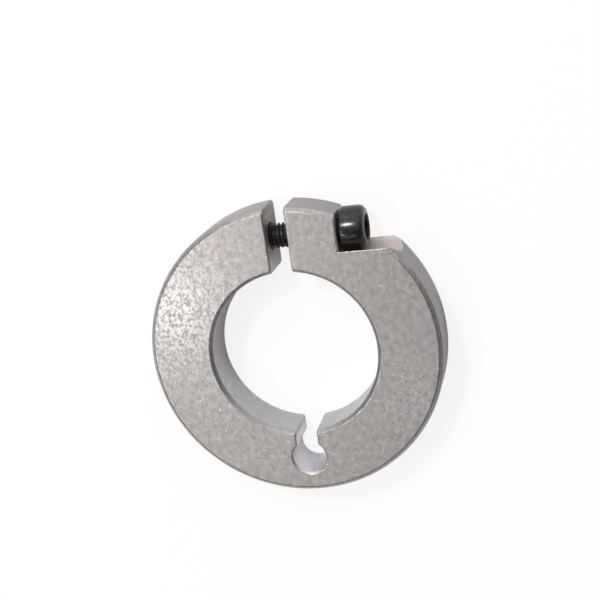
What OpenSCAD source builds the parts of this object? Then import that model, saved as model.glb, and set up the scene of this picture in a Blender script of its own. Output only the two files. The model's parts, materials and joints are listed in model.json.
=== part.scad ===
// Split clamping ring for the hollow shaft of an encoder.
// One turned aluminium ring is slit at the top and relieved by a keyhole slit at
// the bottom, so that one socket head cap screw across the gap can close its bore.
// The bore axis is Z, the back face lies on z = 0 and the gap is on the +Y side.

/* [Ring] */
// Outer diameter of the ring
ring_od = 35.5; // [34:0.5:42]
// Width of the ring along its bore
ring_w = 6; // [5.5:0.5:8]
// Bore diameter with the clamp open
bore_d = 20; // [16:0.5:21]
// Chamfer on the two outer edges
outer_chamfer = 0.5; // [0.2:0.1:0.8]
// Chamfer on the two bore edges
bore_chamfer = 0.4; // [0.2:0.1:0.8]

/* [Gap and relief] */
// Width of the clamping gap
gap_w = 2.5; // [1.5:0.1:3.5]
// Width of the relief slit opposite the gap
relief_w = 2.6; // [1.5:0.1:3.3]
// Diameter of the round end of the relief slit
relief_hole_d = 4; // [3.6:0.1:4.6]
// Chamfer on the two edges of that round end
relief_chamfer = 0.25; // [0.1:0.05:0.4]
// Wall behind the round end, which bends as the ring closes
hinge_wall = 2.4; // [1.8:0.1:3]

/* [Screw] */
// Thread diameter, drawn as a plain cylinder
thread_d = 3; // [2.5:0.1:3.2]
// Length under the head
screw_len = 16; // [12:1:17]
// Chamfer on the end of the thread
tip_chamfer = 0.4; // [0.2:0.1:0.8]
// Diameter of the head
head_d = 5.4; // [4.5:0.1:6]
// Height of the head
head_h = 2.9; // [2.5:0.1:3.5]
// Rounding of the head's top edge
head_round = 0.8; // [0.2:0.1:1]
// Hexagon socket, across its flats
socket_af = 2.5; // [2:0.5:2.5]
// Full depth of the hexagon socket
socket_depth = 1.3; // [1:0.1:1.6]

/* [Screw seat] */
// Depth of the screw's axis below the outside of the ring
screw_depth = 3.9; // [3.4:0.1:4.5]
// Distance of the head's seat from the middle of the gap
seat_x = 7; // [6:0.1:8.5]
// Diameter of the milling cutter that clears the head
cutter_d = 9; // [9:0.5:12]
// Room between the head and the lowest line of the milled floor
floor_clear = 0.3; // [0.2:0.05:0.6]
// Room left under the head, which the screw still has to be turned in by
screw_lift = 0.25; // [0:0.05:0.5]

/* [Fits] */
// Radial clearance of the screw in the plain hole of the near ear
hole_clear = 0.1; // [0.02:0.01:0.2]
// Radial clearance of the screw in the tapped hole of the far ear
thread_clear = 0.05; // [0.02:0.01:0.1]

/* [Hidden] */
$fn = 96;
// Overshoot of every cut past the face that it leaves by
over = 1;

ring_r = ring_od / 2;
bore_r = bore_d / 2;
mid_z = ring_w / 2;
relief_r = relief_hole_d / 2;
relief_y = ring_r - hinge_wall - relief_r;
thread_r = thread_d / 2;
head_r = head_d / 2;
screw_y = ring_r - screw_depth;
cutter_y = screw_y - head_r - floor_clear + cutter_d / 2;
socket_r = socket_af / 2;
socket_corner_r = socket_r / cos(30);
socket_point = socket_r * tan(30);

// Puts a shape that is built along Z on the axis of the screw, with its top towards +X
module on_screw_axis() {
    translate([0, screw_y, mid_z]) rotate([0, 90, 0]) children();
}

// Half section of the turned blank, with its four chamfers
module ring_section() {
    polygon([
        [bore_r + bore_chamfer, 0],
        [ring_r - outer_chamfer, 0],
        [ring_r, outer_chamfer],
        [ring_r, ring_w - outer_chamfer],
        [ring_r - outer_chamfer, ring_w],
        [bore_r + bore_chamfer, ring_w],
        [bore_r, ring_w - bore_chamfer],
        [bore_r, bore_chamfer]
    ]);
}

// Saw cut through the ring from the bore axis out to a given distance along +Y
module saw_cut(width, reach) {
    translate([-width / 2, 0, -over]) cube([width, reach, ring_w + 2 * over]);
}

// Half section of the drilled end of the relief slit, flared at both faces
module relief_hole_section() {
    flare_r = relief_r + relief_chamfer + over;
    polygon([
        [0, -over],
        [flare_r, -over],
        [relief_r, relief_chamfer],
        [relief_r, ring_w - relief_chamfer],
        [flare_r, ring_w + over],
        [0, ring_w + over]
    ]);
}

// Keyhole on the side away from the gap
module relief_cut() {
    rotate([0, 0, 180]) {
        saw_cut(relief_w, relief_y);
        translate([0, relief_y, 0]) rotate_extrude() relief_hole_section();
    }
}

// Path of the cutter that mills the seat square to the screw and a hollow floor along it
module seat_cut() {
    translate([seat_x, cutter_y, mid_z]) {
        rotate([0, 90, 0]) cylinder(d = cutter_d, h = ring_r);
        translate([0, 0, -cutter_d / 2]) cube([ring_r, ring_r, cutter_d]);
    }
}

// Plain hole through the near ear, and the tapped hole right through the far ear
module screw_holes() {
    on_screw_axis() {
        cylinder(r = thread_r + hole_clear, h = seat_x + over);
        translate([0, 0, -ring_r]) cylinder(r = thread_r + thread_clear, h = ring_r);
    }
}

// Half section of the head, with its seat on z = 0 and a rounded top edge
module head_section() {
    square([head_r, head_h - head_round]);
    square([head_r - head_round, head_h]);
    translate([head_r - head_round, head_h - head_round]) circle(r = head_round);
}

// Half section of the threaded shank, which hangs below z = 0
module shank_section() {
    polygon([
        [0, -screw_len],
        [thread_r - tip_chamfer, -screw_len],
        [thread_r, -screw_len + tip_chamfer],
        [thread_r, head_h - head_round],
        [0, head_h - head_round]
    ]);
}

// Hexagon socket with its drill point and the countersink at its mouth
module socket_cut() {
    lead = socket_corner_r - socket_r;
    translate([0, 0, head_h - socket_depth]) {
        cylinder(r = socket_corner_r, h = socket_depth + over, $fn = 6);
        translate([0, 0, -socket_point]) cylinder(r1 = 0, r2 = socket_r, h = socket_point);
    }
    translate([0, 0, head_h - lead]) cylinder(r1 = socket_r, r2 = socket_corner_r, h = lead);
}

module clamp_ring() {
    color("silver") difference() {
        rotate_extrude() ring_section();
        saw_cut(gap_w, ring_r + over);
        relief_cut();
        seat_cut();
        screw_holes();
    }
}

module clamp_screw() {
    color([0.16, 0.16, 0.17]) on_screw_axis() translate([0, 0, seat_x + screw_lift]) difference() {
        rotate_extrude() {
            head_section();
            shank_section();
        }
        socket_cut();
    }
}

clamp_ring();
clamp_screw();
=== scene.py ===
import json
import math

import bmesh
import bpy
from mathutils import Matrix, Vector


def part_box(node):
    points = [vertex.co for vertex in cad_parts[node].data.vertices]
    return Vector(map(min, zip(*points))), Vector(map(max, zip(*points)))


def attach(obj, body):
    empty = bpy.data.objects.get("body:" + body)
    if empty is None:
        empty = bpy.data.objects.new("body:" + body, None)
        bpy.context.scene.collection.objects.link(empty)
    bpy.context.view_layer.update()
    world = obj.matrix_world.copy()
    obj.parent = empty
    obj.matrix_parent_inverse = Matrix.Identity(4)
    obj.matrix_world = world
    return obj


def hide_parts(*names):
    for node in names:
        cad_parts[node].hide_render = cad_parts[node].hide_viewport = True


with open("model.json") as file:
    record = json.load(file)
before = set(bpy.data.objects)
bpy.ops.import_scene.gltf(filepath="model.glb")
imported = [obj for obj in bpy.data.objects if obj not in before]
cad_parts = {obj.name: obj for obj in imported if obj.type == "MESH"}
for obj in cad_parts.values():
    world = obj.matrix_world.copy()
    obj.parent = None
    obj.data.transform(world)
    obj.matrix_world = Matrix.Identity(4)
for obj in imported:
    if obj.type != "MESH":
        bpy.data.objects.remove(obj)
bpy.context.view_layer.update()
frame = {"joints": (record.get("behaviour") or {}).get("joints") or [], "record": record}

mm = 0.001
scene = bpy.context.scene
record = frame["record"]
screwJoint = frame["joints"][0]

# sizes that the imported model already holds, in millimetres
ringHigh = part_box("clamp_ring")[1] / mm
screwLow, screwHigh = (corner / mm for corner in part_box("clamp_screw"))
screwAxis = Vector(screwJoint["pos_m"]) / mm      # on the screw's axis, in the plane under its head
boreMount = next(mount for mount in record["mounts"] if mount["name"] == "bore")
ringRadius = ringHigh.x
ringWidth = ringHigh.z
boreRadius = boreMount["dims"]["r_mm"]
headRadius = (screwHigh.y - screwLow.y) / 2
headHeight = screwHigh.x - screwAxis.x
print("frame loaded: ring %.1f mm across, %.1f mm wide" % (2 * ringRadius, ringWidth))


# shader maths

class Wire:
    def __init__(self, board, socket):
        self.board = board
        self.socket = socket

    def calc(self, operation, *values):
        return self.board.add("ShaderNodeMath", {"operation": operation}, dict(enumerate(values)))

    def __add__(self, other):
        return self.calc("ADD", self, other)

    def __radd__(self, other):
        return self.calc("ADD", other, self)

    def __sub__(self, other):
        return self.calc("SUBTRACT", self, other)

    def __rsub__(self, other):
        return self.calc("SUBTRACT", other, self)

    def __mul__(self, other):
        return self.calc("MULTIPLY", self, other)

    def __rmul__(self, other):
        return self.calc("MULTIPLY", other, self)

    def __truediv__(self, other):
        return self.calc("DIVIDE", self, other)

    def __pow__(self, other):
        return self.calc("POWER", self, other)

    def __abs__(self):
        return self.calc("ABSOLUTE", self)


class Board:
    def __init__(self, tree):
        self.tree = tree
        tree.nodes.clear()

    # one node: settings first, then socket values or links; gives the wire of one output
    def add(self, kind, settings=None, sockets=None, output=0):
        node = self.tree.nodes.new(kind)
        for name, value in (settings or {}).items():
            setattr(node, name, value)
        for name, value in (sockets or {}).items():
            if isinstance(value, Wire):
                self.tree.links.new(value.socket, node.inputs[name])
            else:
                node.inputs[name].default_value = value
        return Wire(self, node.outputs[output]) if len(node.outputs) else None

    def mixColour(self, share, first, second):
        return self.add("ShaderNodeMix", {"data_type": "RGBA"}, {0: share, 6: first, 7: second}, 2)

    def stretch(self, place, scale):
        return self.add("ShaderNodeVectorMath", {"operation": "MULTIPLY"}, {0: place, 1: scale})

    def part(self, vector, axis):
        return self.add("ShaderNodeSeparateXYZ", None, {0: vector}, axis)

    # place on the piece itself, so that the finish moves with it
    def millimetres(self):
        metres = self.add("ShaderNodeTexCoord", output="Object")
        return self.stretch(metres, (1 / mm, 1 / mm, 1 / mm))

    def grain(self, place, scale, detail, rough):
        sockets = {"Vector": place, "Scale": scale, "Detail": detail, "Roughness": rough}
        return self.add("ShaderNodeTexNoise", None, sockets)

    # climbs from 0 at the first limit to 1 at the second
    def between(self, value, low, high):
        return self.add("ShaderNodeMapRange", {"interpolation_type": "SMOOTHSTEP"},
                        {"Value": value, "From Min": low, "From Max": high})


middle = 0.5                   # the level that noise wanders about


def blend(first, second, share):
    return first + (second - first) * share


def newMaterial(name):
    material = bpy.data.materials.new(name)
    material.use_nodes = True
    return material, Board(material.node_tree)


# finish of the ring: aluminium that was turned and milled, then tumbled dull

aluminium = {
    "warm": (0.514, 0.473, 0.451, 1),
    "cool": (0.501, 0.476, 0.463, 1),
    "warmShade": (0.311, 0.286, 0.273, 1),
    "coolShade": (0.303, 0.288, 0.280, 1),
    "bare": (0.72, 0.70, 0.68, 1),        # fresh metal in scratches, and in flecks that are also a painted sparkle
    # painted tints: the walls inside and outside take the cool hue of the light they reflect
    "wallTint": (1.00, 1.035, 1.10),
    "rimTint": (1.00, 0.990, 1.025),
    "metallic": 0.85,          # the tumbled skin scatters a little light as well

    # painted light and shade: how bright each wall is beside the faces
    "cutGain": 1.93,           # the keyhole and its slit
    "boreGain": 1.20,
    "gapGain": 1.62,           # the gap at the bore
    "gapOuterGain": 0.98,      # and at the outside
    "seatGain": 1.45,
    "rimGain": 0.77,           # painted shade: the outside is darker
    "chamferGain": 0.72,       # painted shade: the chamfers are darker
    "rimChamferGain": 1.24,    # and the outer chamfers are painted lighter than the outside beside them
    "rimEdgeDull": 0.28,       # painted shade on the ridge of the outer edges, which dims their highlight
    "edgeWear": 0.26,          # how far painted shade, in patches, breaks the gleam of the edges
    "wallCalm": 0.55,          # the turned walls are less mottled
    "scratch": 0.5,
    "fleck": 0.9,

    "roughness": 0.42,
    "fineRoughness": 0.16,     # how far the two grains move it
    "cloudRoughness": 0.10,
    "edgeRoughness": 0.20,
    "chamferRoughness": 0.33,
    "cutRoughness": 0.36,
    "polish": 0.74,            # share of burnished spots, which carry the sharp gleam
    "polishRoughness": 0.18,
    "polishIor": 1.7,

    # noise: grains along a millimetre, detail, roughness
    "fineGrain": (3.4, 1.5, 0.5),
    "mottleGrain": (1.5, 4.0, 0.70),
    "spotGrain": (2.2, 1.0, 0.5),
    "patchGrain": (1.0, 1.0, 0.5),
    "cloudGrain": (0.22, 3.0, 0.6),
    "scratchGrain": (1.0, 1.0, 0.5),
    "lineGrain": (1.0, 2.0, 0.5),
    "drawnOut": (1.0, 0.75, 1.0),         # the grain is a little longer along y
    "scratchShape": (0.28, 5.5, 0.28),
    "scratchAngles": (0.5, 1.9),
    "linesRound": 2.0,         # the lathe's lines are long round the ring
    "linesAlong": 9.0,         # and close together along the bore
    "dentHeight": 0.006 * mm,
    "lineHeight": 0.006 * mm,

    # levels of the noise between which a mark fades in
    "mottleLevels": (0.80, 0.20),
    "chillLevels": (0.36, 0.60),
    "chillCloud": 0.7,         # share of the cloud, the rest is patches
    "fleckLevels": (0.70, 0.78),
    "shineLevels": (0.36, 0.66),
    "glintLevels": (0.45, 0.59),
    "scratchLevels": (0.72, 0.80),
    "burnishLevels": (0.60, 0.42),
    "burnishFine": 0.8,        # share of the fine grain, the rest is patches

    # how upright the normal is on faces, edges, the ridge of an edge and chamfers
    "faceTilt": (0.75, 0.95),
    "flatTilt": (0.985, 0.998),
    "edgeTop": (0.985, 0.96),
    "edgeFoot": (0.60, 0.80),
    "ridgeFoot": (0.74, 0.84),
    "slopeTop": (0.95, 0.80),
    "slopeFoot": (0.30, 0.60),

    # where each wall starts, in millimetres
    "seatLap": 0.2,
    "seatFoot": (10.2, 10.5),  # along y
    "rimDepth": (1.2, 0.4),    # under the outside
    "boreDepth": (0.9, 0.4),   # under the wall of the bore
    "gapFoot": (0.80, 0.95),   # along y, in radii of the bore
    "gapSide": (2.2, 1.8),
    "gapRun": (10.5, 16.5),    # along y, from the bore to the outside
    "troughFacing": (0.72, 0.66),         # how far a wall faces away from the bore's axis
}


def tumbledAluminium():
    look = aluminium
    material, board = newMaterial("tumbled_aluminium")
    place = board.millimetres()
    drawn = board.stretch(place, look["drawnOut"])
    normal = board.add("ShaderNodeNewGeometry", output="Normal")
    x = board.part(place, "X")
    y = board.part(place, "Y")
    z = board.part(place, "Z")
    tilt = abs(board.part(normal, "Z"))

    # masks of the walls and edges
    face = board.between(tilt, *look["faceTilt"])
    flat = board.between(tilt, *look["flatTilt"])
    wall = 1 - face
    radius = (x * x + y * y) ** 0.5
    facing = (board.part(normal, "X") * x + board.part(normal, "Y") * y) / radius
    seat = board.between(x, ring["seatX"] - look["seatLap"], ring["seatX"])
    seat = seat * board.between(y, *look["seatFoot"])
    trough = seat * board.between(facing, *look["troughFacing"])
    rim = board.between(radius, *(ringRadius - depth for depth in look["rimDepth"]))
    rim = rim * (1 - trough)
    bore = board.between(radius, *(boreRadius + depth for depth in look["boreDepth"]))
    gap = board.between(y, *(share * boreRadius for share in look["gapFoot"]))
    gap = gap * board.between(abs(x), *look["gapSide"])
    cut = wall * (1 - rim) * (1 - bore) * (1 - gap)
    edge = board.between(tilt, *look["edgeTop"]) * board.between(tilt, *look["edgeFoot"])
    ridge = edge * board.between(tilt, *look["ridgeFoot"])
    slope = board.between(tilt, *look["slopeFoot"]) * board.between(tilt, *look["slopeTop"])
    chamfer = slope * (1 - seat)

    # marks that tumbling leaves
    fine = board.grain(drawn, *look["fineGrain"])
    mottle = board.grain(drawn, *look["mottleGrain"])
    patch = board.grain(drawn, *look["patchGrain"])
    spots = board.grain(place, *look["spotGrain"])
    cloud = board.grain(place, *look["cloudGrain"])
    fleck = board.between(spots, *look["fleckLevels"]) * face
    shine = board.between(spots, *look["shineLevels"])
    glint = board.between(spots, *look["glintLevels"])

    # short scratches in two directions
    rub = 0
    for angle in look["scratchAngles"]:
        turned = board.add("ShaderNodeVectorRotate", {"rotation_type": "Z_AXIS"},
                           {"Vector": place, "Angle": angle})
        streak = board.grain(board.stretch(turned, look["scratchShape"]), *look["scratchGrain"])
        rub = rub + board.between(streak, *look["scratchLevels"])
    rub = rub * face

    # faint lines that the lathe left round the walls
    turn = y.calc("ARCTAN2", y, x)
    spin = board.add("ShaderNodeCombineXYZ", None, {
        "X": turn * look["linesRound"],
        "Y": z * look["linesAlong"],
        "Z": 0.0,
    })
    lines = board.grain(spin, *look["lineGrain"])

    # colour
    dull = board.between(mottle, *look["mottleLevels"])
    dull = middle + (dull - middle) * (1 - wall * look["wallCalm"])
    chill = cloud * look["chillCloud"] + patch * (1 - look["chillCloud"])
    chill = board.between(chill, *look["chillLevels"])
    light = board.mixColour(chill, look["warm"], look["cool"])
    dark = board.mixColour(chill, look["warmShade"], look["coolShade"])
    tone = board.mixColour(dull, light, dark)
    tone = board.mixColour(rub * look["scratch"], tone, look["bare"])
    # lighter flecks: bare metal in nicks and a painted sparkle
    tone = board.mixColour(fleck * look["fleck"], tone, look["bare"])
    # painted tint: the walls are cooler, standing in for the cool light that they reflect
    cooled = wall * (1 - seat) * (1 - gap) * (1 - rim)
    tone = board.mixColour(cooled, tone, board.stretch(tone, look["wallTint"]))
    tone = board.mixColour(wall * rim, tone, board.stretch(tone, look["rimTint"]))

    # painted light and shade: brightness of the walls, chamfers and edges
    gapTone = blend(look["gapGain"], look["gapOuterGain"], board.between(y, *look["gapRun"]))
    gain = blend(look["cutGain"], look["boreGain"], bore)
    gain = blend(gain, gapTone, gap)
    gain = blend(gain, look["seatGain"], seat)
    gain = blend(gain, look["rimGain"], rim)
    # painted shade on the chamfers, and painted light on the outer ones
    chamferShade = blend(look["chamferGain"], look["rimChamferGain"], rim)
    gain = gain * (1 - chamfer * (1 - chamferShade))
    # painted shade in patches along the edges breaks their gleam
    gain = (face + wall * gain) * (1 - edge * (1 - shine) * look["edgeWear"])
    # painted shade on the ridge of the outer edges
    gain = gain * (1 - ridge * rim * look["rimEdgeDull"])
    tone = board.add("ShaderNodeVectorMath", {"operation": "SCALE"}, {0: tone, "Scale": gain})

    # gloss and relief
    rough = look["roughness"] + (fine - middle) * look["fineRoughness"]
    rough = rough + (cloud - middle) * look["cloudRoughness"]
    rough = rough - edge * glint * (1 - rim) * (look["roughness"] - look["edgeRoughness"])
    rough = rough - cut * (look["roughness"] - look["cutRoughness"])
    rough = rough - slope * rim * (look["roughness"] - look["chamferRoughness"])
    burnish = fine * look["burnishFine"] + patch * (1 - look["burnishFine"])
    burnish = board.between(burnish, *look["burnishLevels"]) * flat * look["polish"]
    dents = board.add("ShaderNodeBump", None, {"Distance": look["dentHeight"], "Height": fine})
    relief = board.add("ShaderNodeBump", None,
                       {"Distance": look["lineHeight"], "Height": wall * lines, "Normal": dents})
    skin = board.add("ShaderNodeBsdfPrincipled", None, {
        "Base Color": tone,
        "Metallic": look["metallic"],
        "Roughness": rough,
        "Normal": relief,
        "Coat Weight": burnish,
        "Coat Roughness": look["polishRoughness"],
        "Coat IOR": look["polishIor"],
    })
    board.add("ShaderNodeOutputMaterial", None, {"Surface": skin})
    return material


# finish of the screw: black oxide, a little oily

blackOxide = {
    "colour": (0.008, 0.008, 0.009, 1),
    "worn": (0.034, 0.030, 0.028, 1),
    "roughness": 0.19,
    "cloudRoughness": 0.14,    # how far the clouds move it
    "threadRoughness": 0.45,
    "socketMetallic": 0.7,     # painted shade: less gloss deep in the socket darkens that recess
    "ior": 1.46,
    "fineGrain": (3.0, 4.0, 0.6),
    "cloudGrain": (0.6, 2.0, 0.55),
    "wornFine": 0.6,           # share of the fine grain, the rest is clouds
    "wornLevels": (0.50, 0.72),
    "shankSide": (0.2, 0.05),  # millimetres outside the neck
    "socketRun": (-2.2, -1.9),            # millimetres along x from the top of the head
    "dentHeight": 0.003 * mm,
}


def blackOxideSteel():
    look = blackOxide
    material, board = newMaterial("black_oxide_steel")
    place = board.millimetres()
    x = board.part(place, "X") - screwHigh.x
    y = board.part(place, "Y") - screwAxis.y
    z = board.part(place, "Z") - screwAxis.z
    distance = (y * y + z * z) ** 0.5
    shank = board.between(distance, *(screw["neck"] + side for side in look["shankSide"]))
    inside = shank * board.between(x, *look["socketRun"])
    fine = board.grain(place, *look["fineGrain"])
    cloud = board.grain(place, *look["cloudGrain"])
    worn = fine * look["wornFine"] + cloud * (1 - look["wornFine"])
    worn = board.between(worn, *look["wornLevels"])
    tone = board.mixColour(worn, look["colour"], look["worn"])
    rough = look["roughness"] + (cloud - middle) * look["cloudRoughness"]
    rough = rough + shank * (look["threadRoughness"] - look["roughness"])
    dents = board.add("ShaderNodeBump", None, {"Distance": look["dentHeight"], "Height": fine})
    skin = board.add("ShaderNodeBsdfPrincipled", None, {
        "Base Color": tone,
        # painted shade deep in the socket, by a metallic skin over the near-black colour
        "Metallic": inside * look["socketMetallic"],
        "Roughness": rough,
        "IOR": look["ior"],
        "Normal": dents,
    })
    board.add("ShaderNodeOutputMaterial", None, {"Surface": skin})
    return material


# mesh helpers

def arc(centre, radius, start, end, count):
    points = []
    for step in range(count):
        angle = start + (end - start) * step / count
        points.append((centre[0] + radius * math.cos(angle), centre[1] + radius * math.sin(angle)))
    return points


def line(start, end, count):
    points = []
    for step in range(count):
        share = step / count
        points.append((blend(start[0], end[0], share), blend(start[1], end[1], share)))
    return points


def leg(long, side):
    return math.sqrt(long * long - side * side)


def heading(point, centre=(0, 0)):
    return math.atan2(point[1] - centre[1], point[0] - centre[0])


def newPiece(name, mesh, material, body, node):
    piece = bpy.data.objects.new(name, mesh)
    scene.collection.objects.link(piece)
    mesh.materials.append(material)
    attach(piece, body)
    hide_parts(node)
    return piece


# a closed stack of rows, with the same number of points once round in each
def stackMesh(name, vertices, count):
    rows = len(vertices) // count
    faces = [list(range(count))[::-1]]
    for row in range(rows - 1):
        base = row * count
        for index in range(count):
            after = (index + 1) % count
            faces.append((base + index, base + after, base + count + after, base + count + index))
    faces.append(list(range((rows - 1) * count, rows * count)))
    mesh = bpy.data.meshes.new(name)
    mesh.from_pydata([Vector(point) * mm for point in vertices], [], faces)
    return mesh


# the ring: a stack of outlines from its back face to its front face, all with the same points

ring = {
    "outerChamfer": 0.5,
    "boreChamfer": 0.4,
    "gapWidth": 2.5,
    "reliefWidth": 2.6,
    "reliefHole": 4.0,
    "reliefChamfer": 0.25,
    "hingeWall": 2.4,
    "seatX": 7.0,
    "cutter": 9.0,
    "floorClear": 0.3,
    "softEdge": 0.22,          # rounding that tumbling leaves on a cut edge
    "softChamfer": 0.36,       # the same where a chamfer meets a face or a wall
    "softBore": 0.14,          # the same at the bore
    "softCorner": 0.16,        # the same on an upright corner
    "millCorner": 0.08,        # corner that the cutter leaves at the foot of the seat
    "plainHole": 1.6,
    "tappedHole": 1.55,
    "tapRoot": 1.27,           # crests of the thread in its empty end
    "tapEnd": -9.4,            # that end starts a little past the tip of the screw
    "tapLap": 0.05,            # how far the plain part of the hole runs on into it
    "tapFade": 0.25,           # run over which this thread grows to its full height
    "holeChamfer": 0.2,
    "toolPast": 0.6,           # how far a drill starts outside the metal
    "edgeLevels": 15,
    "edgeCrowding": 1.6,       # levels stand closer together towards the faces
    "middleLevels": 14,
    "sharpAngle": 50,          # degrees
    "evenWeight": 90,
    "points": {                # along each stretch of an outline
        "outside": 260,
        "ear": 22,
        "corner": 6,
        "floor": 24,
        "mill": 5,
        "seat": 14,
        "gap": 20,
        "bore": 120,
        "slit": 5,
        "neck": 5,
        "hole": 64,
    },
}

slant = math.radians(45)       # of every chamfer


def roundInset(depth, soft):
    return soft - leg(soft, soft - depth) if depth < soft else 0


def chamferInset(depth, size, soft):
    run = soft * math.tan(slant / 2)
    drop = soft * (1 - math.cos(slant))
    if depth < drop:
        return size + run - leg(soft, soft - depth)
    if depth < size + run - soft * math.sin(slant):
        return size - depth
    if depth < size + run:
        return soft - leg(soft, size + run - depth)
    return 0


def ringLevels():
    reach = ring["outerChamfer"] + ring["softChamfer"] * math.tan(slant / 2)
    count = ring["edgeLevels"]
    lower = [reach * (step / count) ** ring["edgeCrowding"] for step in range(count)]
    count = ring["middleLevels"]
    inner = [reach + (ringWidth - 2 * reach) * step / count for step in range(count + 1)]
    return lower + inner + [ringWidth - depth for depth in reversed(lower)]


def ringOutline(z):
    depth = min(z, ringWidth - z)
    cut = roundInset(depth, ring["softEdge"])
    outer = ringRadius - chamferInset(depth, ring["outerChamfer"], ring["softChamfer"])
    bore = boreRadius + chamferInset(depth, ring["boreChamfer"], ring["softBore"])
    hole = ring["reliefHole"] / 2
    holeY = ring["hingeWall"] + hole - ringRadius
    hole += chamferInset(depth, ring["reliefChamfer"], ring["softChamfer"] / 2)
    gap = ring["gapWidth"] / 2 + cut
    slit = ring["reliefWidth"] / 2 + cut
    seat = ring["seatX"] - cut
    cutterY = screwAxis.y - headRadius - ring["floorClear"] + ring["cutter"] / 2
    floor = cutterY - leg(ring["cutter"] / 2, z - ringWidth / 2) - cut
    soft = ring["softCorner"]
    mill = ring["millCorner"]
    count = ring["points"]

    # centres of the rounded corners, from the gap round the outside and back through the bore
    earX = gap + soft
    earOut = (earX, leg(outer - soft, earX))
    earIn = (earX, leg(bore + soft, earX))
    step = (leg(outer - soft, floor - soft), floor - soft)
    foot = (seat + mill, floor + mill)
    shoulder = (seat - soft, leg(outer - soft, seat - soft))
    slitX = slit + soft
    slitIn = (slitX, -leg(bore + soft, slitX))
    neck = (slitX, holeY + leg(hole + soft, slitX))
    centre = (0, holeY)
    axis = (0, 0)
    half = math.pi
    full = 2 * math.pi
    lean = heading(neck, centre)

    points = arc((-earOut[0], earOut[1]), soft, 0, half - heading(earOut), count["corner"])
    points += arc(axis, outer, half - heading(earOut), full + heading(step), count["outside"])
    points += arc(step, soft, heading(step), half / 2, count["corner"])
    points += line((step[0], floor), (foot[0], floor), count["floor"])
    points += arc(foot, mill, -half / 2, -half, count["mill"])
    points += line((seat, foot[1]), (seat, shoulder[1]), count["seat"])
    points += arc(shoulder, soft, 0, heading(shoulder), count["corner"])
    points += arc(axis, outer, heading(shoulder), heading(earOut), count["ear"])
    points += arc(earOut, soft, heading(earOut), half, count["corner"])
    points += line((gap, earOut[1]), (gap, earIn[1]), count["gap"])
    points += arc(earIn, soft, half, half + heading(earIn), count["corner"])
    points += arc(axis, bore, heading(earIn), heading(slitIn), count["bore"])
    points += arc(slitIn, soft, half + heading(slitIn), half, count["corner"])
    points += line((slit, slitIn[1]), (slit, neck[1]), count["slit"])
    points += arc(neck, soft, half, half + lean, count["neck"])
    points += arc(centre, hole, lean, -half - lean, count["hole"])
    points += arc((-neck[0], neck[1]), soft, -lean, 0, count["neck"])
    points += line((-slit, neck[1]), (-slit, slitIn[1]), count["slit"])
    points += arc((-slitIn[0], slitIn[1]), soft, 0, -heading(slitIn), count["corner"])
    points += arc(axis, bore, half - heading(slitIn), half - heading(earIn), count["bore"])
    points += arc((-earIn[0], earIn[1]), soft, -heading(earIn), 0, count["corner"])
    points += line((-gap, earIn[1]), (-gap, earOut[1]), count["gap"])
    return points


def ringMesh():
    levels = ringLevels()
    vertices = []
    for z in levels:
        vertices += [(x, y, z) for x, y in ringOutline(z)]
    return stackMesh("clamp_ring_dressed", vertices, len(vertices) // len(levels))


def newTool(name, mesh):
    tool = bpy.data.objects.new(name, mesh)
    scene.collection.objects.link(tool)
    return tool


# a closed shape turned about the screw's axis, from pairs of place along X and radius
def turnedTool(name, outline, columns=64):
    vertices = []
    for along, radius in outline:
        vertices += [(along, screwAxis.y + y, screwAxis.z + z)
                     for y, z in arc((0, 0), radius, 0, 2 * math.pi, columns)]
    return newTool(name, stackMesh(name, vertices, columns))


def cutFrom(piece, tool):
    cut = piece.modifiers.new("cut", "BOOLEAN")
    cut.operation = "DIFFERENCE"
    cut.solver = "EXACT"
    cut.object = tool
    graph = bpy.context.evaluated_depsgraph_get()
    shape = bpy.data.meshes.new_from_object(piece.evaluated_get(graph))
    piece.modifiers.clear()
    old = piece.data
    piece.data = shape
    bpy.data.meshes.remove(old)
    bpy.data.objects.remove(tool)


def makeRing(material):
    piece = newPiece("clamp_ring_dressed", ringMesh(), material, "ring", "clamp_ring")
    flare = ring["holeChamfer"]
    past = ring["toolPast"]
    gap = ring["gapWidth"] / 2
    plain = ring["plainHole"]
    tapped = ring["tappedHole"]
    nearHole = [
        (gap - past, plain + flare + past),
        (gap + flare, plain),
        (ring["seatX"] - flare, plain),
        (ring["seatX"] + past, plain + flare + past),
    ]
    farHole = [
        (ring["tapEnd"] - ring["tapLap"], tapped),
        (-gap - flare, tapped),
        (-gap + past, tapped + flare + past),
    ]
    cutFrom(piece, turnedTool("plain_hole", nearHole))
    cutFrom(piece, turnedTool("tapped_hole", farHole))
    cutFrom(piece, threadedTool("tap", -ringRadius - past, ring["tapEnd"]))
    piece.data.shade_smooth()
    piece.data.set_sharp_from_angle(angle=math.radians(ring["sharpAngle"]))
    even = piece.modifiers.new("even_shading", "WEIGHTED_NORMAL")
    even.mode = "FACE_AREA"
    even.weight = ring["evenWeight"]
    even.keep_sharp = True
    print("ring built: %d faces" % len(piece.data.polygons))


# the screw: thread, head and socket in one closed grid of columns round its axis

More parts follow.
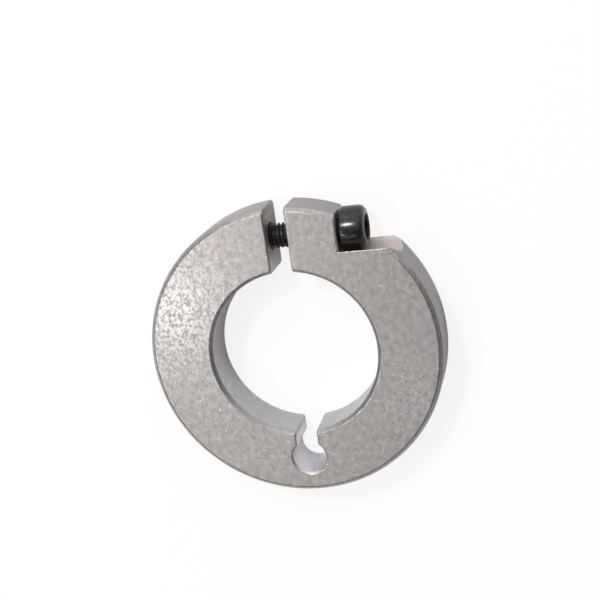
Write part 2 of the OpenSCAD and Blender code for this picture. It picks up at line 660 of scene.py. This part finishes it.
screw = {
    "columns": 72,
    "pitch": 0.5,
    "crest": 1.48,
    "root": 1.20,
    # places over one pitch, and how far each stands between root and crest
    "profile": ((-0.07, 1.0), (0.07, 1.0), (0.38, 0.08), (0.44, 0.0), (0.56, 0.0), (0.62, 0.08)),
    "spareTurns": 2,           # thread before the start, which is cut off there
    "neck": 1.5,               # plain run under the head
    "runOut": 0.7,             # length of that run and of the thread's end
    "tipRadius": 1.1,
    "headRound": 0.8,
    "roundSteps": 7,
    "headFoot": 0.30,          # rounding of the head's lower edge
    "footSteps": 4,
    "socketFlats": 2.5,
    "socketDepth": 1.3,
    "socketMouth": 1.52,
    "mouthBevel": 0.06,        # small bevel round the mouth
    "mouthDrop": 0.02,
    "drillStep": 0.03,         # the drill is a little smaller than the hexagon
    "drillAngle": 30,          # degrees
    "sharpAngle": 35,          # degrees
    "weld": 1e-8,              # metres
}


def threadRadius(along, height, tip):
    radius = blend(screw["root"], screw["crest"], height)
    fade = (along + screw["runOut"]) / (0.5 * screw["runOut"])
    if fade > 0:
        radius += (screw["neck"] - radius) * min(1, fade)
    return min(radius, screw["tipRadius"] + along - tip)


def columnAngles():
    columns = screw["columns"]
    return [2 * math.pi * column / columns for column in range(columns)]


def addSpot(shape, along, radius, angle):
    return shape.verts.new(Vector((
        screwAxis.x + along,
        screwAxis.y + radius * math.cos(angle),
        screwAxis.z + radius * math.sin(angle),
    )) * mm)


# thread rows climb one pitch in a turn, and are cut off at both ends
def addThread(shape, start, end, radiusAt):
    pitch = screw["pitch"]
    rows = []
    spare = screw["spareTurns"]
    for turn in range(-spare, math.ceil((end - start) / pitch) + 1):
        for place, rise in screw["profile"]:
            row = []
            for angle in columnAngles():
                along = start + pitch * (turn + place + angle / (2 * math.pi))
                along = min(end, max(start, along))
                row.append(addSpot(shape, along, radiusAt(along, rise), angle))
            rows.append(row)
    shift = len(screw["profile"])
    for low in range(len(rows) - 1):
        for column in range(screw["columns"] - 1):
            shape.faces.new((rows[low][column], rows[low][column + 1],
                             rows[low + 1][column + 1], rows[low + 1][column]))
        if low + shift + 1 < len(rows):
            shape.faces.new((rows[low][-1], rows[low + shift][0],
                             rows[low + shift + 1][0], rows[low + 1][-1]))


def closedMesh(name, shape):
    bmesh.ops.remove_doubles(shape, verts=shape.verts, dist=screw["weld"])
    openEdges = [edge for edge in shape.edges if edge.is_boundary]
    bmesh.ops.holes_fill(shape, edges=openEdges, sides=0)
    bmesh.ops.recalc_face_normals(shape, faces=shape.faces)
    mesh = bpy.data.meshes.new(name)
    shape.to_mesh(mesh)
    shape.free()
    return mesh


# a tap from one place along X to another, which leaves its thread in the hole
def threadedTool(name, start, end):
    low = start - screwAxis.x
    high = end - screwAxis.x
    depth = ring["tappedHole"] - ring["tapRoot"]

    def radiusAt(along, rise):
        share = min(1, min(high - along, along - low) / ring["tapFade"])
        return ring["tappedHole"] - depth * (1 - rise) * share

    shape = bmesh.new()
    addThread(shape, low, high, radiusAt)
    return newTool(name, closedMesh(name, shape))


def hexRadius(angle):
    sixth = math.radians(60)
    return screw["socketFlats"] / 2 / math.cos((angle + sixth / 2) % sixth - sixth / 2)


# pairs of place along X and radius, from the neck round the head to the mouth of the socket
def headRings():
    foot = screw["headFoot"]
    top = screw["headRound"]
    rings = [(0, screw["neck"])]
    for step in range(screw["footSteps"] + 1):
        angle = math.radians(90 * step / screw["footSteps"])
        rings.append((foot * (1 - math.cos(angle)), headRadius - foot * (1 - math.sin(angle))))
    for step in range(screw["roundSteps"] + 1):
        angle = math.radians(90 * step / screw["roundSteps"])
        along = headHeight - top * (1 - math.sin(angle))
        rings.append((along, headRadius - top * (1 - math.cos(angle))))
    rings.append((headHeight, screw["socketMouth"] + screw["mouthBevel"]))
    rings.append((headHeight - screw["mouthDrop"], screw["socketMouth"]))
    return rings


def screwMesh():
    columns = screw["columns"]
    tip = screwLow.x - screwAxis.x
    angles = columnAngles()
    shape = bmesh.new()
    addThread(shape, tip, 0, lambda along, rise: threadRadius(along, rise, tip))

    # head and socket
    rings = []
    for along, radius in headRings():
        rings.append([addSpot(shape, along, radius, angle) for angle in angles])
    mouth = headHeight - screw["mouthDrop"] - screw["socketMouth"]
    floor = headHeight - screw["socketDepth"]
    drill = screw["socketFlats"] / 2 - screw["drillStep"]
    sides = [(hexRadius(angle), angle) for angle in angles]
    rings.append([addSpot(shape, mouth + radius, radius, angle) for radius, angle in sides])
    rings.append([addSpot(shape, floor, radius, angle) for radius, angle in sides])
    rings.append([addSpot(shape, floor, drill, angle) for angle in angles])
    point = addSpot(shape, floor - drill * math.tan(math.radians(screw["drillAngle"])), 0, 0)
    for low, high in zip(rings, rings[1:]):
        for column in range(columns):
            after = (column + 1) % columns
            shape.faces.new((low[column], low[after], high[after], high[column]))
    for column in range(columns):
        shape.faces.new((rings[-1][column], rings[-1][(column + 1) % columns], point))
    return closedMesh("clamp_screw_dressed", shape)


def makeScrew(material):
    piece = newPiece("clamp_screw_dressed", screwMesh(), material, "screw", "clamp_screw")
    piece.data.shade_smooth()
    piece.data.set_sharp_from_angle(angle=math.radians(screw["sharpAngle"]))
    print("screw built: %d faces" % len(piece.data.polygons))


# floor, light and camera

studio = {
    "floorSize": 5.0,
    "floorDrop": 0.00002,      # metres under the ring
    "floorColour": (0.90, 0.90, 0.90, 1),
    "white": (1, 1, 1, 1),
    "floorGlow": 0.86,         # share of plain white in what the camera sees of the floor
    "floorMirror": 0.13,       # the same share in what metal sees of it
    "skyGlow": 1.0,            # the same two shares for the room
    "skyMirror": 0.08,
    "skyLow": 0.07,
    "skyHigh": 1.40,
    "brightSide": (0.06, 0.93, 0.34),     # towards a pale wall behind the ring
    "brightSpread": (0.2, 1.0),
    "skyFront": 0.50,          # low pale band in front of the ring
    "frontSpread": (-0.2, -0.8),
    "frontFoot": (0.08, 0.26),
    "frontTop": (0.75, 0.45),
}


# share of plain white in what the camera sees, and in what metal and glass show of it
def whiteShare(board, glow, mirror):
    seen = board.add("ShaderNodeLightPath", output="Is Camera Ray")
    mirrored = board.add("ShaderNodeLightPath", output="Is Glossy Ray")
    through = board.add("ShaderNodeLightPath", output="Is Transmission Ray")
    return seen * glow + (mirrored + through) * mirror


def makeFloor():
    half = studio["floorSize"] / 2
    low = -studio["floorDrop"]
    corners = [(-half, -half, low), (half, -half, low), (half, half, low), (-half, half, low)]
    mesh = bpy.data.meshes.new("floor")
    mesh.from_pydata(corners, [], [(0, 1, 2, 3)])
    floor = bpy.data.objects.new("floor", mesh)
    scene.collection.objects.link(floor)
    material, board = newMaterial("floor_white")
    share = whiteShare(board, studio["floorGlow"], studio["floorMirror"])
    paint = board.add("ShaderNodeBsdfDiffuse", None, {"Color": studio["floorColour"]})
    glow = board.add("ShaderNodeEmission", None, {"Color": studio["white"], "Strength": 1.0})
    both = board.add("ShaderNodeMixShader", None, {0: share, 1: paint, 2: glow})
    board.add("ShaderNodeOutputMaterial", None, {"Surface": both})
    mesh.materials.append(material)


def makeSky():
    world = bpy.data.worlds.new("studio")
    world.use_nodes = True
    scene.world = world
    board = Board(world.node_tree)
    share = whiteShare(board, studio["skyGlow"], studio["skyMirror"])
    ray = board.add("ShaderNodeTexCoord", output="Generated")
    bright = Vector(studio["brightSide"]).normalized()
    lean = board.add("ShaderNodeVectorMath", {"operation": "DOT_PRODUCT"}, {0: ray, 1: bright}, "Value")
    level = blend(studio["skyLow"], studio["skyHigh"], board.between(lean, *studio["brightSpread"]))
    height = board.part(ray, "Z")
    band = board.between(board.part(ray, "Y"), *studio["frontSpread"])
    band = band * board.between(height, *studio["frontTop"])
    band = band * board.between(height, *studio["frontFoot"])
    level = level + band * studio["skyFront"]
    level = blend(level, 1, share)
    back = board.add("ShaderNodeBackground", None, {"Color": studio["white"], "Strength": level})
    board.add("ShaderNodeOutputWorld", None, {"Surface": back})


lamps = {
    # direction that the light comes from, distance and width of the lamp in metres, watts, tint
    "left": ((-0.53, 0.00, 0.85), 0.55, 0.14, 0.58, (1, 1, 1)),
    "front": ((-0.27, -0.46, 0.85), 0.55, 0.14, 0.060, (1, 1, 1)),
    "window": ((-0.86, -0.09, 0.50), 0.55, 0.06, 0.30, (1, 1, 1)),
    "back": ((-0.235, 0.57, 0.79), 0.55, 0.08, 1.27, (1, 1, 1)),
    "low": ((-0.24, 0.93, 0.27), 0.60, 0.05, 0.035, (1, 0.97, 0.90)),
    "glint": ((-0.36, -0.245, 0.90), 0.60, 0.03, 0.145, (1, 1, 1)),
    "cool": ((-0.12, -0.36, 0.92), 0.60, 0.03, 0.030, (0.86, 0.93, 1)),
}


def makeLamps():
    for name, (direction, distance, width, power, tint) in lamps.items():
        lamp = bpy.data.lights.new(name, "AREA")
        lamp.shape = "DISK"
        lamp.size = width
        lamp.energy = power
        lamp.color = tint
        holder = bpy.data.objects.new(name, lamp)
        scene.collection.objects.link(holder)
        towards = Vector(direction).normalized()
        holder.location = towards * distance
        holder.rotation_euler = towards.to_track_quat("Z", "Y").to_euler()


camera = {
    "eye": (34.75, 44.33, 135.81),     # millimetres
    "aim": (0.97, 5.73, 3.0),
    "roll": -8.50,                     # degrees
    "focal": 71.65,
    "sensor": 36,
    "near": 0.001,                     # metres
    "far": 10,
}


def makeCamera():
    eye = Vector(camera["eye"])
    back = (eye - Vector(camera["aim"])).normalized()
    level = Vector((0, 1, 0)).cross(back).normalized()
    rise = back.cross(level)
    roll = math.radians(camera["roll"])
    right = level * math.cos(roll) + rise * math.sin(roll)
    up = back.cross(right)
    lens = bpy.data.cameras.new("photo_view")
    lens.sensor_width = camera["sensor"]
    lens.lens = camera["focal"]
    lens.clip_start = camera["near"]
    lens.clip_end = camera["far"]
    holder = bpy.data.objects.new("photo_view", lens)
    scene.collection.objects.link(holder)
    turn = Matrix((right, up, back)).transposed().to_4x4()
    holder.matrix_world = Matrix.Translation(eye * mm) @ turn
    scene.camera = holder


scene.view_settings.view_transform = "Standard"
makeCamera()
makeFloor()
makeSky()
makeLamps()
print("studio ready")
makeRing(tumbledAluminium())
makeScrew(blackOxideSteel())
